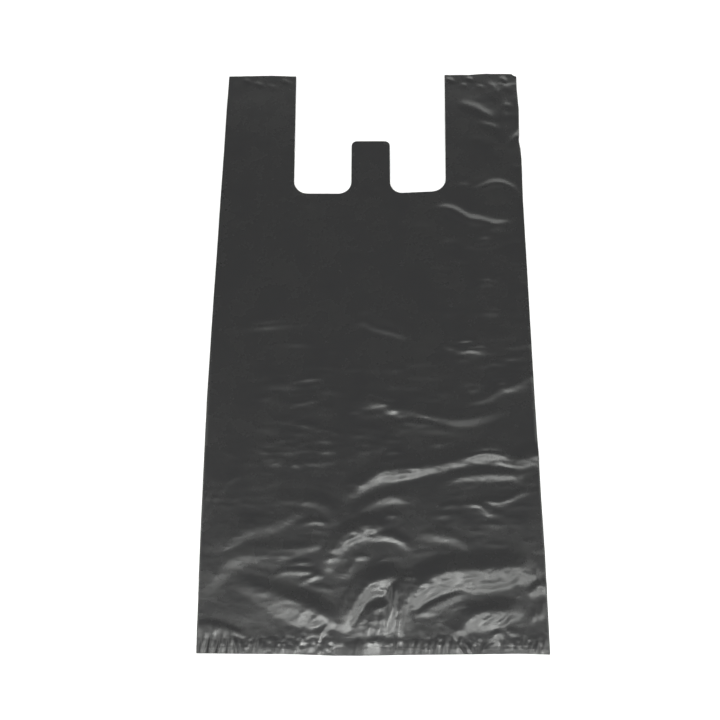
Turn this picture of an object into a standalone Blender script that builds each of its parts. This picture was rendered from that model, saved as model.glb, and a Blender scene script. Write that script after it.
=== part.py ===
"""A black plastic vest carrier bag, empty and lying flat, as it comes off the pack.

The bag is one piece of blown film. A tube of thin film is folded flat with a pleat, the gusset,
tucked into each side. The tube is heat-sealed across both ends, and the mouth is die-cut out of
the top through every layer, which leaves two handles and a small hanging tab between them.

X runs across the bag, Y from the bottom seal to the handles, and Z up. The bag lies on Z = 0,
and the origin is the middle of its underside. All sizes are in metres.
"""

import math
from collections import namedtuple

import bmesh
import bpy

MM = 0.001

# The film tube, folded flat
BAG_WIDTH = 0.280
BAG_LENGTH = 0.530
GUSSET_DEPTH = 0.075
LEFT_BOW = 0.0034
FILM = 0.00015
LAYER_AIR = 0.00035
FOLD_STEPS = 2

# The heat seals: strips where all four layers are one
BOTTOM_SEAL = 0.008
TOP_SEAL = 0.004
SEAL_AIR = 0.00005
SEAL_SKIN = 0.00005
SEAL_TAPER = 0.014
SEAL_OVERLAP = 0.0015
GATHER_PITCH = 0.0056
GATHER_HEIGHT = 0.0003

# The die-cut mouth, which is struck a little left of the bag's middle
MOUTH_WIDTH = 0.1425
MOUTH_DEPTH = 0.127
MOUTH_SHIFT = -0.0028
SLOT_RADIUS = 0.013
RIGHT_SLOT_RISE = 0.003
TAB_WIDTH = 0.036
TAB_HEIGHT = 0.055
TAB_SHIFT = -0.002
TAB_RADIUS = 0.005
CUT_MARGIN = 0.01
ARC_STEPS = 6

# How finely the film is divided across, and along in bands from the bottom seal to the top one.
# The rows are close together where the film is creased, and far apart where it is flat.
FRONT_COLUMNS = 36
GUSSET_COLUMNS = 1
BACK_COLUMNS = 1
FILM_START = BOTTOM_SEAL - SEAL_OVERLAP
FILM_END = BAG_LENGTH - TOP_SEAL + SEAL_OVERLAP
Band = namedtuple("Band", "end rows")
BANDS = [
    Band(0.165, 27),
    Band(0.225, 8),
    Band(0.350, 2),
    Band(0.395, 6),
    Band(BAG_LENGTH - TOP_SEAL - SEAL_TAPER, 2),
    Band(FILM_END, 3),
]

# The heights of the four film layers above the table
Layers = namedtuple("Layers", "back lower_gusset upper_gusset front")

# The film stands up along each crease, by `height` at its crest, and is flat again at `reach`
# from it. A route runs along the crest, in millimetres from the middle of the bottom edge.
Crease = namedtuple("Crease", "height reach route")
CREASES = [
    # The long ridge that crosses the right half
    Crease(4.0, 13, [(-20, 122), (-5, 132), (20, 137), (60, 143), (100, 149), (141, 146)]),
    # The arch in the middle, and the soft ridge above it
    Crease(3.6, 12, [(-32, 66), (-24, 83), (-5, 92), (14, 86), (32, 76)]),
    Crease(1.6, 11, [(-22, 108), (0, 112), (26, 116)]),
    # The sweeps on the left
    Crease(2.2, 13, [(-120, 68), (-104, 88), (-84, 92), (-60, 101)]),
    Crease(2.0, 12, [(-128, 50), (-112, 64), (-84, 66)]),
    Crease(2.2, 10, [(-96, 73), (-70, 74), (-42, 77)]),
    Crease(2.0, 11, [(-78, 111), (-52, 112), (-36, 100)]),
    # The broad lap at the lower left, and the two on the lower right
    Crease(3.4, 20, [(-108, 42), (-76, 32), (-48, 20)]),
    Crease(5.4, 21, [(24, 34), (58, 46), (100, 50), (141, 46)]),
    Crease(4.4, 17, [(56, 12), (84, 19), (116, 20)]),
    # The pleats that gather at the middle of the bottom seal
    Crease(3.8, 12, [(-22, 16), (-10, 32), (2, 46)]),
    Crease(2.4, 9, [(17, 14), (19, 46)]),
    # The shallow waves of the upper part
    Crease(1.6, 13, [(-24, 190), (6, 196), (38, 184), (78, 181), (112, 187)]),
    Crease(1.5, 13, [(84, 196), (110, 207), (137, 216)]),
    Crease(1.8, 14, [(60, 382), (84, 371), (120, 364)]),
]


def clear_scene():
    for old in list(bpy.data.objects):
        bpy.data.objects.remove(old)


def new_collection(name):
    made = bpy.data.collections.new(name)
    bpy.context.scene.collection.children.link(made)
    return made


def film_material():
    """Black polythene film: dark, smooth and a little hazy."""
    material = bpy.data.materials.new("black_film")
    material.use_nodes = True
    shader = material.node_tree.nodes["Principled BSDF"]
    shader.inputs["Base Color"].default_value = (0.022, 0.022, 0.023, 1.0)
    shader.inputs["Roughness"].default_value = 0.38
    shader.inputs["Metallic"].default_value = 0.0
    return material


def from_route(x, y, route):
    """The distance of (x, y) from a route in millimetres, and how far along it the nearest point is."""
    nearest, along, total = math.inf, 0.0, 0.0
    for (ax, ay), (bx, by) in zip(route, route[1:]):
        ax, ay, bx, by = (value * MM for value in (ax, ay, bx, by))
        length = math.hypot(bx - ax, by - ay)
        share = ((x - ax) * (bx - ax) + (y - ay) * (by - ay)) / length**2
        share = min(1.0, max(0.0, share))
        distance = math.hypot(x - ax - share * (bx - ax), y - ay - share * (by - ay))
        if distance < nearest:
            nearest, along = distance, total + share * length
        total += length
    return nearest, along / total


def crease_lift(x, y):
    """How far the creases lift the front film, (x, y) being from the middle of the bottom edge."""
    lift = 0.0
    for crease in CREASES:
        distance, along = from_route(x, y, crease.route)
        if distance >= crease.reach * MM:
            continue
        across = 0.5 + 0.5 * math.cos(math.pi * distance / (crease.reach * MM))
        ends = math.sin(math.pi * (0.15 + 0.7 * along))
        lift = max(lift, crease.height * MM * across * ends)
    return lift * clear_of_seals(y)


def clear_of_seals(y):
    """0 at and past a seal, and 1 from SEAL_TAPER inside it."""
    inside = min(y - BOTTOM_SEAL, BAG_LENGTH - TOP_SEAL - y)
    share = min(1.0, max(0.0, inside / SEAL_TAPER))
    return share * share * (3 - 2 * share)


def side_edges(y):
    """The film's left and right edges. The left one bows out between the seals."""
    bow = math.sin(math.pi * (min(1.0, max(0.0, y / BAG_LENGTH)) ** 0.71))
    half = BAG_WIDTH / 2 - SEAL_SKIN
    return -half - LEFT_BOW * bow, half


def layer_heights(y):
    """The middle of each film layer above the table."""
    free = clear_of_seals(y)
    step = FILM + SEAL_AIR + free * (LAYER_AIR - SEAL_AIR)
    lowest = FILM / 2 + (1 - free) * SEAL_SKIN
    return Layers(lowest, lowest + step, lowest + 2 * step, lowest + 3 * step)


def flat_layer(x_from, x_to, columns, height):
    """Points evenly spaced across one layer."""
    step = (x_to - x_from) / columns
    return [(x_from + step * i, height) for i in range(columns + 1)]


def fold(x_centre, towards, radius, z_from, z_to):
    """The points between the two layers that a fold joins, on a half round that bulges `towards`."""
    middle, half = (z_from + z_to) / 2, (z_from - z_to) / 2
    angles = [math.pi * i / FOLD_STEPS for i in range(1, FOLD_STEPS)]
    return [(x_centre + towards * radius * math.sin(a), middle + half * math.cos(a)) for a in angles]


def section(y):
    """The folded tube cut across at y, as (x, z) points once round it: front, right side, back, left side."""
    left, right = side_edges(y)
    z = layer_heights(y)
    radius = (z.lower_gusset - z.back) / 2
    x_left, x_right = left + radius, right - radius
    inner_left, inner_right = left + GUSSET_DEPTH - radius, right - GUSSET_DEPTH + radius

    flat_front = flat_layer(x_left, x_right, FRONT_COLUMNS, z.front)
    front = [(x, height + crease_lift(x, y)) for x, height in flat_front]
    right_side = (
        fold(x_right, 1, radius, front[-1][1], z.upper_gusset)
        + flat_layer(x_right, inner_right, GUSSET_COLUMNS, z.upper_gusset)
        + fold(inner_right, -1, radius, z.upper_gusset, z.lower_gusset)
        + flat_layer(inner_right, x_right, GUSSET_COLUMNS, z.lower_gusset)
        + fold(x_right, 1, radius, z.lower_gusset, z.back)
    )
    back = flat_layer(x_right, x_left, BACK_COLUMNS, z.back)
    left_side = (
        fold(x_left, -1, radius, z.back, z.lower_gusset)
        + flat_layer(x_left, inner_left, GUSSET_COLUMNS, z.lower_gusset)
        + fold(inner_left, 1, radius, z.lower_gusset, z.upper_gusset)
        + flat_layer(inner_left, x_left, GUSSET_COLUMNS, z.upper_gusset)
        + fold(x_left, -1, radius, z.upper_gusset, front[0][1])
    )
    return front + right_side + back + left_side + front[:1]


def film_rows():
    """Where the film is divided along its length. It ends inside the two seal strips."""
    rows = [FILM_START]
    for band in BANDS:
        step = (band.end - rows[-1]) / band.rows
        rows += [rows[-1] + step * (i + 1) for i in range(band.rows)]
    return rows


def in_part_frame(x, y):
    """A point from the middle of the bottom edge, moved so that the origin is the middle of the bag."""
    return x + LEFT_BOW / 2, y - BAG_LENGTH / 2


def folded_film(name):
    """The film as a sheet without thickness: a flat grid, folded into the gusseted tube and joined."""
    rows = film_rows()
    sections = [section(y) for y in rows]
    columns = len(sections[0]) - 1
    bm = bmesh.new()
    bmesh.ops.create_grid(bm, x_segments=columns, y_segments=len(rows) - 1, size=1.0)
    for vertex in bm.verts:
        column = round((vertex.co.x + 1) / 2 * columns)
        row = round((vertex.co.y + 1) / 2 * (len(rows) - 1))
        x, z = sections[row][column]
        vertex.co = (*in_part_frame(x, rows[row]), z)
    bmesh.ops.remove_doubles(bm, verts=bm.verts, dist=FILM / 100)
    bmesh.ops.recalc_face_normals(bm, faces=bm.faces)
    mesh = bpy.data.meshes.new(name)
    bm.to_mesh(mesh)
    bm.free()
    return bpy.data.objects.new(name, mesh)


def seal_strip(name, y_from, y_to, columns, gather_height):
    """A strip of the four layers melted together, with the gathers on its upper side."""
    thickness = 2 * SEAL_SKIN + 4 * FILM + 3 * SEAL_AIR
    bm = bmesh.new()
    bmesh.ops.create_grid(bm, x_segments=columns, y_segments=1, size=0.5)
    top = list(bm.verts)
    for vertex in top:
        x = vertex.co.x * BAG_WIDTH
        y = y_from + (vertex.co.y + 0.5) * (y_to - y_from)
        gather = 0.5 - 0.5 * math.cos(2 * math.pi * (x / GATHER_PITCH + 0.5))
        vertex.co = (*in_part_frame(x, y), thickness + gather_height * gather)
    bottom = bmesh.ops.extrude_face_region(bm, geom=bm.faces[:])["geom"]
    for vertex in (item for item in bottom if isinstance(item, bmesh.types.BMVert)):
        vertex.co.z = 0.0
    bmesh.ops.recalc_face_normals(bm, faces=bm.faces)
    mesh = bpy.data.meshes.new(name)
    bm.to_mesh(mesh)
    bm.free()
    return bpy.data.objects.new(name, mesh)


def rounded(corners):
    """An outline through (x, y, radius) corners, each rounded by an arc of ARC_STEPS steps."""
    points = []
    for i, (x, y, radius) in enumerate(corners):
        if radius == 0:
            points.append((x, y))
            continue
        before, after = corners[i - 1], corners[(i + 1) % len(corners)]
        to_before = math.atan2(before[1] - y, before[0] - x)
        to_after = math.atan2(after[1] - y, after[0] - x)
        turn = math.remainder(to_after - to_before, 2 * math.pi)
        middle = to_before + turn / 2
        reach = radius / abs(math.sin(turn / 2))
        centre = (x + reach * math.cos(middle), y + reach * math.sin(middle))
        spread = math.copysign(math.pi - abs(turn), turn)
        for step in range(ARC_STEPS + 1):
            angle = middle + math.pi + spread * (0.5 - step / ARC_STEPS)
            points.append((centre[0] + radius * math.cos(angle), centre[1] + radius * math.sin(angle)))
    return points


def mouth_outline():
    """The die's outline: a slot beside each handle, and the tab between them.

    The floor of the right slot climbs by RIGHT_SLOT_RISE towards its handle.
    """
    half = MOUTH_WIDTH / 2
    floor, top = BAG_LENGTH - MOUTH_DEPTH, BAG_LENGTH + CUT_MARGIN
    tab_left, tab_right = TAB_SHIFT - TAB_WIDTH / 2, TAB_SHIFT + TAB_WIDTH / 2
    corners = [
        (MOUTH_SHIFT - half, top, 0),
        (MOUTH_SHIFT - half, floor, SLOT_RADIUS),
        (tab_left, floor, SLOT_RADIUS),
        (tab_left, floor + TAB_HEIGHT, TAB_RADIUS),
        (tab_right, floor + TAB_HEIGHT, TAB_RADIUS),
        (tab_right, floor, SLOT_RADIUS),
        (MOUTH_SHIFT + half, floor + RIGHT_SLOT_RISE, SLOT_RADIUS),
        (MOUTH_SHIFT + half, top, 0),
    ]
    return [in_part_frame(x, y) for x, y in rounded(corners)]


def mouth_cutter(name, home):
    """The die that strikes the mouth out of every layer, as a mesh."""
    curve = bpy.data.curves.new(name, "CURVE")
    curve.dimensions = "2D"
    curve.fill_mode = "BOTH"
    curve.extrude = CUT_MARGIN
    outline = mouth_outline()
    spline = curve.splines.new("POLY")
    spline.points.add(len(outline) - 1)
    for point, (x, y) in zip(spline.points, outline):
        point.co = (x, y, 0.0, 1.0)
    spline.use_cyclic_u = True
    drawn = bpy.data.objects.new(name + "_outline", curve)
    home.objects.link(drawn)
    mesh = bpy.data.meshes.new_from_object(drawn.evaluated_get(bpy.context.evaluated_depsgraph_get()))
    bm = bmesh.new()
    bm.from_mesh(mesh)
    bmesh.ops.remove_doubles(bm, verts=bm.verts, dist=FILM / 100)
    bmesh.ops.recalc_face_normals(bm, faces=bm.faces)
    bm.to_mesh(mesh)
    bm.free()
    cutter = bpy.data.objects.new(name, mesh)
    cutter.matrix_world = drawn.matrix_world
    bpy.data.objects.remove(drawn)
    return cutter


def helper(obj, home):
    """A shape that only joins or cuts another."""
    home.objects.link(obj)
    obj.hide_render = True
    obj.display_type = "WIRE"
    return obj


def add_boolean(obj, other, operation):
    modifier = obj.modifiers.new(other.name, "BOOLEAN")
    modifier.object = other
    modifier.operation = operation
    modifier.solver = "EXACT"


def carrier_bag(home, helpers):
    bag = folded_film("carrier_bag")
    home.objects.link(bag)
    bag.data.materials.append(film_material())

    wall = bag.modifiers.new("film_thickness", "SOLIDIFY")
    wall.thickness = FILM
    wall.offset = 0.0
    wall.use_even_offset = True

    ribs = 4 * round(BAG_WIDTH / GATHER_PITCH)
    bottom = seal_strip("bottom_seal", 0.0, BOTTOM_SEAL, ribs, GATHER_HEIGHT)
    top = seal_strip("top_seal", BAG_LENGTH - TOP_SEAL, BAG_LENGTH, 1, 0.0)
    for strip in (bottom, top):
        add_boolean(bag, helper(strip, helpers), "UNION")
    add_boolean(bag, helper(mouth_cutter("mouth_die", helpers), helpers), "DIFFERENCE")
    return bag


def main():
    clear_scene()
    carrier_bag(new_collection("vest_carrier_bag"), new_collection("cutters"))


main()
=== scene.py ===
# %% [markdown]
# # A black plastic carrier bag, lying flat
# The real bag is one tube of thin polythene film. It is folded flat with a pleat tucked into each
# side, welded across both ends, and die-cut at the top, which leaves two handles and a small tab.
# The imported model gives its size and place. This script makes the film, with its creases, its welds
# and its finish, and then the floor, the light and the camera.

# %% Load the frame
import math

import bmesh
import bpy
import numpy as np
from mathutils import Matrix, Vector


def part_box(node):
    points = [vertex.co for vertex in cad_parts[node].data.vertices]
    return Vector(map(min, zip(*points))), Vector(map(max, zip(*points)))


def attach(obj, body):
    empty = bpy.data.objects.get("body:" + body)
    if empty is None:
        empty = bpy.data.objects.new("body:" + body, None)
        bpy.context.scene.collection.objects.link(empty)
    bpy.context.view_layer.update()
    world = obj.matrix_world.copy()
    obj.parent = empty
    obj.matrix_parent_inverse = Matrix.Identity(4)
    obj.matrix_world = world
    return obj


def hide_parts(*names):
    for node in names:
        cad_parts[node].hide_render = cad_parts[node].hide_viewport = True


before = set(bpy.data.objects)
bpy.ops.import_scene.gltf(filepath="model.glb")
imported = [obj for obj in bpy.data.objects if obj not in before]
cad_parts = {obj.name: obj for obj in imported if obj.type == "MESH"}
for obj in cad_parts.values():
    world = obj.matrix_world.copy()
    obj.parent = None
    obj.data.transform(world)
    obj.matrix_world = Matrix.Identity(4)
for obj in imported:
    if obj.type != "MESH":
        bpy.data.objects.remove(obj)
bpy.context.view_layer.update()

LOW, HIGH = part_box("carrier_bag")
print("the bag's solid is", [round(v, 4) for v in HIGH - LOW], "m")

# %% [markdown]
# ## Working in millimetres on the bag
# Everything on the bag is written in millimetres from the middle of its bottom edge: x across, y
# up to the handles. One function turns such a place into the frame's metres. The bag's left side
# bows out a little, so its middle is not the middle of the frame.

# %% Places on the bag
MM = 0.001
HALF_WIDTH = 140.0
MIDDLE_X = HIGH.x - HALF_WIDTH * MM
BOTTOM_Y = LOW.y


def in_frame(x, y, z):
    """Millimetres on the bag, as arrays or numbers, to metres in the frame."""
    return MIDDLE_X + np.asarray(x) * MM, BOTTOM_Y + np.asarray(y) * MM, np.asarray(z) * MM


# The bag's outline: (along, across) for the sides, and (across, along) for the ends
LEFT_SIDE = [(0, -140.4), (41, -141.3), (80, -142.1), (121, -142.6), (207, -143.4), (299, -142.6),
             (347, -141.9), (397, -141.4), (450, -140.6), (493, -140.3), (531, -139.6)]
RIGHT_SIDE = [(0, 139.9), (81, 140.2), (122, 139.7), (150, 139.6), (207, 139.0), (298, 138.8),
              (397, 138.5), (438, 139.3), (450, 138.8), (458, 137.6), (464, 138.2), (492, 139.4),
              (514, 138.6), (531, 138.9)]
BOTTOM_END = [(-144, 0.0), (-60, -0.4), (-30, -1.3), (-10, -1.2), (40, -0.2), (80, 0.3), (116, 0.9),
              (144, 0.2)]
TOP_END = [(-144, 529.4), (-100, 530.0), (-76, 529.2), (66, 530.2), (92, 530.0), (110, 531.3), (134, 530.9),
           (137, 528.6), (144, 527.0)]
SEAL_Y = 8.0
TOP_SEAL_Y = 526.0


def along_line(points, places):
    """Reads a line through (place, value) points at other places."""
    xs, values = zip(*points)
    return np.interp(places, xs, values)


# %% [markdown]
# ## The creases as a height map
# Film that has been folded and handled keeps sharp creases. Each is a crest line with a flat face
# falling towards the viewer and a softer back. A cloth simulation would put creases where it liked,
# so here each main crease is drawn as a route over a height map: a grid of heights, one
# every 0.75 mm. Each point of a route is (x, y, width of the near face, height of the crest).

# %% The grid of the height map
CELL = 0.75
GRID_X = np.arange(-150.0, 150.0 + CELL, CELL)
GRID_Y = np.arange(-6.0, 537.0 + CELL, CELL)
ACROSS, ALONG = np.meshgrid(GRID_X, GRID_Y)
print("height map:", ACROSS.shape, "cells")


def blurred(field, radius):
    """A soft blur of the height map, radius in millimetres."""
    reach = max(1, round(3 * radius / CELL))
    weights = np.exp(-0.5 * (np.arange(-reach, reach + 1) * CELL / radius) ** 2)
    weights /= weights.sum()
    for axis in (0, 1):
        padding = [(reach, reach) if side == axis else (0, 0) for side in (0, 1)]
        padded = np.pad(field, padding, mode="edge")
        size = field.shape[axis]
        field = sum(w * np.take(padded, range(i, i + size), axis) for i, w in enumerate(weights))
    return field


def smoothstep(low, high, value):
    """0 up to `low` and 1 from `high` on, with a smooth rise between them."""
    share = np.clip((value - low) / (high - low), 0.0, 1.0)
    return share * share * (3 - 2 * share)


def waves(cell_x, cell_y, seed):
    """Smooth random waves from -1 to 1 over the grid. Their size is about one cell."""
    rng = np.random.default_rng(seed)
    u = (GRID_X - GRID_X[0]) / cell_x
    v = (GRID_Y - GRID_Y[0]) / cell_y
    knots = rng.uniform(-1, 1, (int(v[-1]) + 2, int(u[-1]) + 2))
    iu, iv = u.astype(int), v.astype(int)
    fu, fv = smoothstep(0, 1, u - iu), smoothstep(0, 1, v - iv)[:, None]
    low = knots[iv][:, iu] * (1 - fu) + knots[iv][:, iu + 1] * fu
    high = knots[iv + 1][:, iu] * (1 - fu) + knots[iv + 1][:, iu + 1] * fu
    return low * (1 - fv) + high * fv


# %% Draw one crease
def smooth_route(points, step=2.0):
    """A Catmull-Rom curve through the points of a route, as closely spaced points."""
    p = np.array(points, float)
    p = np.vstack([2 * p[0] - p[1], p, 2 * p[-1] - p[-2]])
    found = []
    for a, b, c, d in zip(p, p[1:], p[2:], p[3:]):
        count = max(2, math.ceil(np.linalg.norm((c - b)[:2]) / step))
        t = (np.arange(count) / count)[:, None]
        found.append(0.5 * (2 * b + (c - a) * t + (2 * a - 5 * b + 4 * c - d) * t**2
                            + (3 * b - a - 3 * c + d) * t**3))
    found.append(p[-2][None])
    route = np.vstack(found)
    route[:, 2:] = np.maximum(route[:, 2:], 0.0)
    return route


def draw_crease(field, points, far):
    """Raises the height map along a route. The near face is on the route's right-hand side."""
    route = smooth_route(points)
    margin = max(far, route[:, 2].max()) + 1
    i0, i1 = np.searchsorted(GRID_X, [route[:, 0].min() - margin, route[:, 0].max() + margin])
    j0, j1 = np.searchsorted(GRID_Y, [route[:, 1].min() - margin, route[:, 1].max() + margin])
    x, y = ACROSS[j0:j1, i0:i1, None], ALONG[j0:j1, i0:i1, None]
    start, run = route[:-1], np.diff(route, axis=0)
    length2 = np.maximum(run[:, 0] ** 2 + run[:, 1] ** 2, 1e-9)
    share = np.clip(((x - start[:, 0]) * run[:, 0] + (y - start[:, 1]) * run[:, 1]) / length2, 0, 1)
    dx = x - start[:, 0] - share * run[:, 0]
    dy = y - start[:, 1] - share * run[:, 1]
    best = np.hypot(dx, dy).argmin(axis=2)[..., None]
    share, dx, dy = (np.take_along_axis(v, best, 2)[..., 0] for v in (share, dx, dy))
    best = best[..., 0]
    distance = np.hypot(dx, dy)
    side = run[best, 0] * dy - run[best, 1] * dx
    near = np.maximum(start[best, 2] + share * run[best, 2], 0.5)
    crest = start[best, 3] + share * run[best, 3]
    near_face = np.clip(1 - distance / near, 0, None)
    far_face = 0.5 + 0.5 * np.cos(np.pi * np.clip(distance / far, 0, 1))
    window = field[j0:j1, i0:i1]
    np.maximum(window, crest * np.where(side < 0, near_face, far_face), out=window)


# %% [markdown]
# ## The broad laps
# These are the forms that show from a step away: the long ridge that crosses the right half, the
# arch in the middle, the sweeps on the left, and the plates that puff up over the bottom weld.

# %% Routes of the broad laps: each as (width of the far face, route)
LAP_SOFTNESS = 0.9
LAPS = [
    # The long ridge, and the lip under its right half
    (14, [(-26, 121, 5, 0), (-14, 129, 6, 0.9), (-3, 138, 8, 1.7), (9, 144, 10, 2.5),
          (25, 146.5, 10, 2.5), (42, 148.5, 8, 1.9), (60, 151.5, 7, 1.5), (80, 156.5, 7.5, 1.8),
          (96, 159, 8.5, 2.1), (109, 157.5, 8.5, 2.1), (118, 153.5, 7, 1.7), (127, 155.5, 8, 1.8),
          (134, 158, 9, 2.0), (143, 157, 9, 2.0)]),
    (8, [(60, 138, 4, 0), (75, 140.5, 5, 0.9), (90, 142, 6, 1.35), (108, 142.5, 6, 1.45),
         (118, 141.5, 5, 1.2), (125, 137, 4, 0)]),
    # The arch in the middle, its inner lip, and the soft ridge above it
    (12, [(-37, 60, 4, 0), (-34, 74, 7, 1.0), (-29, 85, 9, 1.6), (-21, 92, 10, 1.8),
          (-13, 97, 11, 1.85), (-4, 100.5, 11, 1.8), (4, 99, 9, 1.2), (12, 96, 4, 0)]),
    (7, [(-14, 88, 4, 0), (-4, 90.5, 4, 0.5), (5, 92, 5, 0.8), (13, 91.5, 5, 0.95), (20, 89, 4.5, 0.9),
         (27, 85, 4, 0.6), (33, 79, 3, 0)]),
    (9, [(-20, 106, 4, 0), (-10, 113, 5, 0.5), (2, 119, 6, 0.8), (12, 123.5, 7, 1.1), (20, 124, 7, 1.0),
         (29, 120, 5, 0)]),
    # The sweeps on the left
    (14, [(-136, 44, 4, 0), (-129, 57, 8, 0.65), (-121, 68, 8, 0.7), (-112, 73.5, 8, 0.75),
          (-98, 75, 7, 0.6), (-84, 76, 6, 0.5), (-66, 77, 5, 0.4), (-50, 79, 3, 0)]),
    (14, [(-125, 72, 4, 0), (-118, 86, 9, 0.9), (-105, 96, 8, 0.8), (-88, 99.5, 7, 0.65),
          (-76, 103, 7, 0.65), (-66, 109, 7, 0.6), (-52, 112, 3, 0)]),
    (10, [(-98, 78, 3, 0), (-84, 79.5, 4.5, 0.65), (-66, 80.5, 5, 0.7), (-52, 82.5, 5, 0.65),
          (-43, 84.5, 4.5, 0.5), (-36, 87, 3, 0)]),
    (12, [(-88, 118, 3, 0), (-73, 120, 6, 0.7), (-62, 119.5, 6.5, 0.8), (-50, 120, 6.5, 0.8),
          (-42, 118, 6, 0.7), (-35, 111, 5, 0.5), (-30, 98, 3, 0)]),
    (8, [(-143, 96, 4, 0), (-137, 114, 5, 0.5), (-129, 128, 5, 0.5), (-118, 139, 4, 0.4),
         (-108, 142, 3, 0)]),
    # The wedge at the lower left
    (14, [(-114, 53, 4, 0), (-100, 51, 8, 0.7), (-85, 46, 12, 1.1), (-70, 41.5, 16, 1.6),
          (-56, 37, 18, 2.0), (-45, 32, 15, 1.9), (-37, 26, 10, 1.3), (-32, 19, 4, 0)]),
    # The pleats at the left end of the bottom weld stand up as one low bulge
    (4, [(-144, 20, 13, 0.6), (-133, 22, 15, 0.75), (-121, 20.5, 14, 0.75), (-110, 16, 11, 0.6),
         (-103, 10, 5, 0)]),
    # The plate at the lower right, and the lip under its left end
    (17, [(24, 30, 6, 0), (29, 39, 8, 1.2), (38, 50, 12, 2.1), (50, 59, 16, 2.8), (62, 63, 17, 3.0),
          (76, 64, 18, 3.1), (90, 65, 18, 3.0), (105, 66, 17, 2.8), (117, 66.5, 16, 2.5),
          (124, 62, 12, 1.5), (130, 55, 8, 0)]),
    (3, [(33, 28, 4, 0), (44, 35.5, 7, 0.7), (56, 41, 7, 0.8), (68, 46, 6, 0.7), (80, 48, 4, 0)]),
    (6, [(126, 43, 3, 0), (131, 50, 5, 1.0), (136, 53, 6, 1.2), (144, 50, 6, 1.2)]),
    # The plate over the right end of the bottom weld, and the small one under it
    (12, [(56, 9, 4, 0), (66, 16, 8, 0.6), (75, 24, 12, 1.0), (82, 30, 14, 1.8), (92, 32, 14, 1.9),
          (103, 33, 14, 1.9), (111, 33, 11, 1.5), (116, 27, 5, 0)]),
    (3, [(86, 6, 4, 0), (94, 11.5, 5, 0.6), (100, 17, 9, 1.1), (104, 13, 6, 0.7), (109, 8, 3, 0)]),
    # The fan over the middle of the bottom weld: its low skirt, its left leaf and its top plate
    (7, [(-17, 12, 5, 0), (-11, 22, 14, 0.7), (-3, 31, 21, 1.3), (6, 35.5, 25, 1.5), (12, 38, 28, 1.8),
         (17, 49, 38, 2.2), (24, 57, 42, 2.1), (31, 59, 42, 1.7), (37, 55, 30, 1.0), (42, 47, 14, 0)]),
    (14, [(-23.5, 15, 4, 0), (-21, 22, 6, 0.8), (-17, 33, 7.5, 2.1), (-11, 43, 8, 2.5),
          (-4.5, 52, 10, 2.6), (2, 57, 14, 2.6), (11, 57.5, 14, 2.5), (18, 55.5, 11, 1.8),
          (24, 50, 5, 0)]),
]

# %% Raise the laps
lap_height = np.zeros_like(ACROSS)
for far, points in LAPS:
    draw_crease(lap_height, points, far)
lap_height = blurred(lap_height, LAP_SOFTNESS)
print("broad laps rise to", round(float(lap_height.max()), 2), "mm")

# %% [markdown]
# ## The narrow creases
# On top of the laps lie narrow creases: the short ones that catch the light, the gathers that fan
# out of the weld, and faint ones up to the handles. They are drawn in the same way, and added.

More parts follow.
